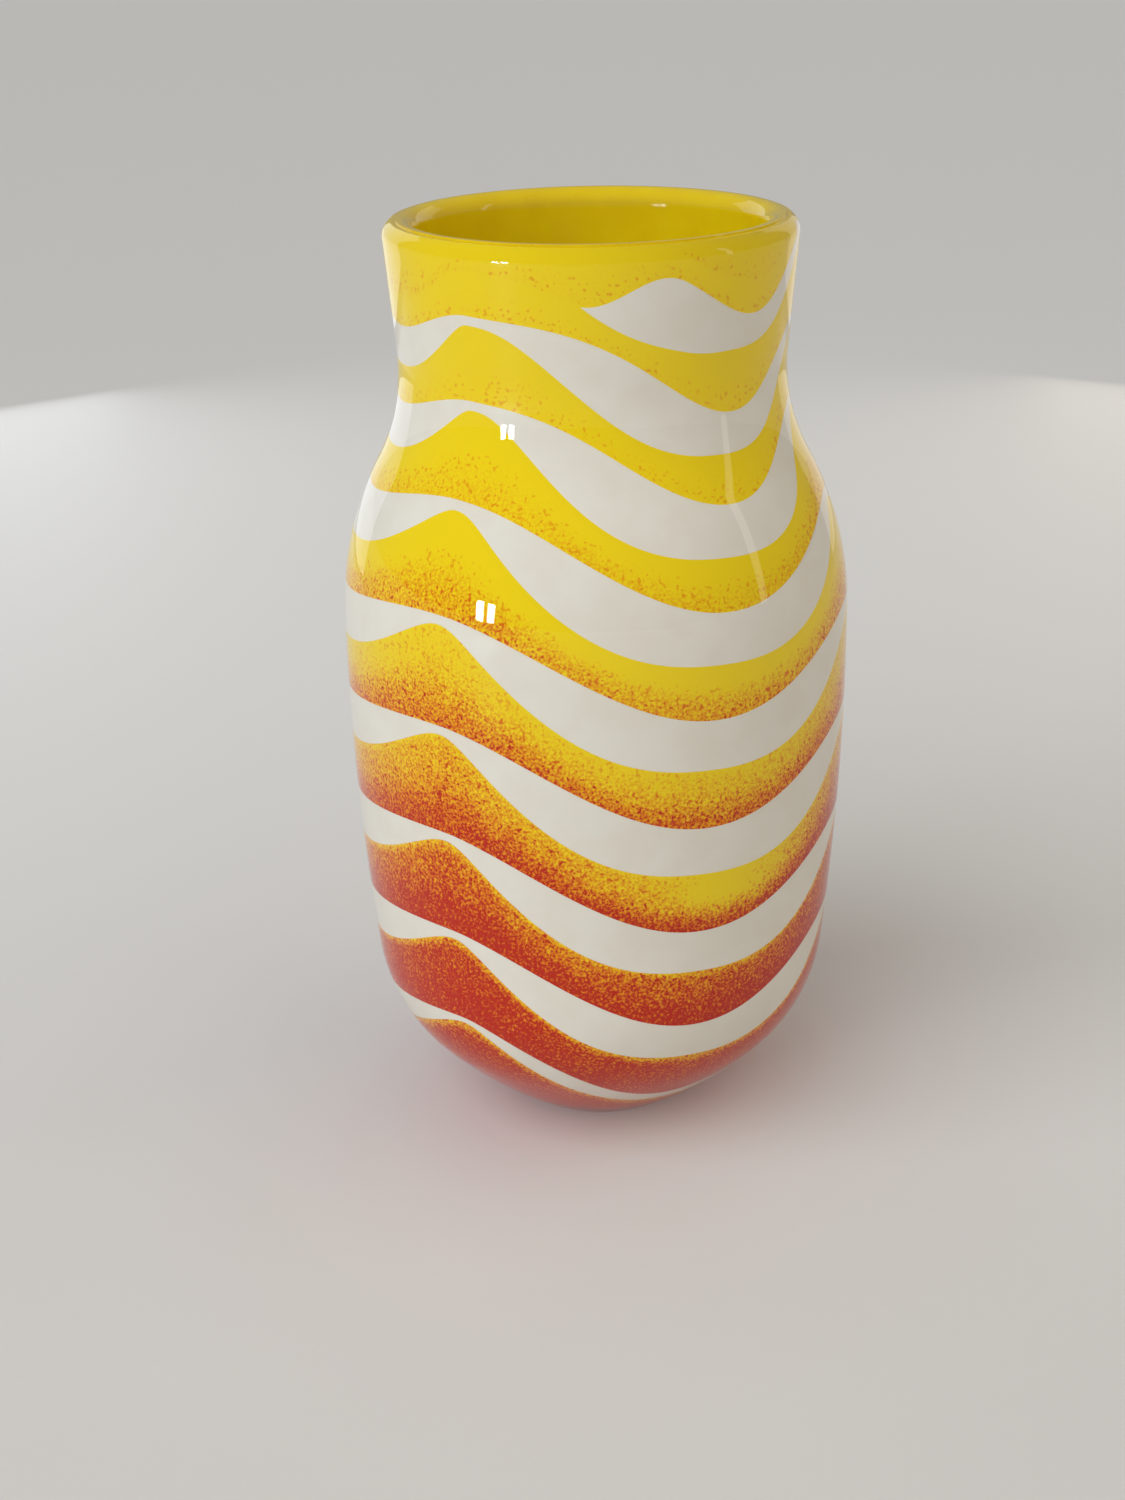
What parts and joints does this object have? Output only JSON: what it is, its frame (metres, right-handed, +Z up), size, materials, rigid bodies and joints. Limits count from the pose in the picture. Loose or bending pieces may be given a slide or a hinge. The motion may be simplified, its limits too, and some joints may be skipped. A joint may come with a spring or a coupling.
{
  "type": "bud vase",
  "caption": "Blown cased-glass bud vase: round belly, narrow neck, rounded lip and a ground foot, with a white trail in a yellow-to-red coat.",
  "frame": {"origin": "middle of the foot, on the plane that the vase stands on", "axes": "+Z up along the vase's axis, -Y towards the front"},
  "size_m": [0.0818, 0.0818, 0.15],
  "materials": {
    "yellow_glass": "opaque, glossy",
    "colour_glass": "opaque, speckled from yellow to red",
    "opal_glass": "opaque opal white",
    "clear_glass": "clear, fire-polished"
  },
  "bodies": {
    "root": {"lining": "yellow_glass", "colour_coat": "colour_glass", "white_trail": "opal_glass", "casing": "clear_glass"}
  },
  "joints": []
}
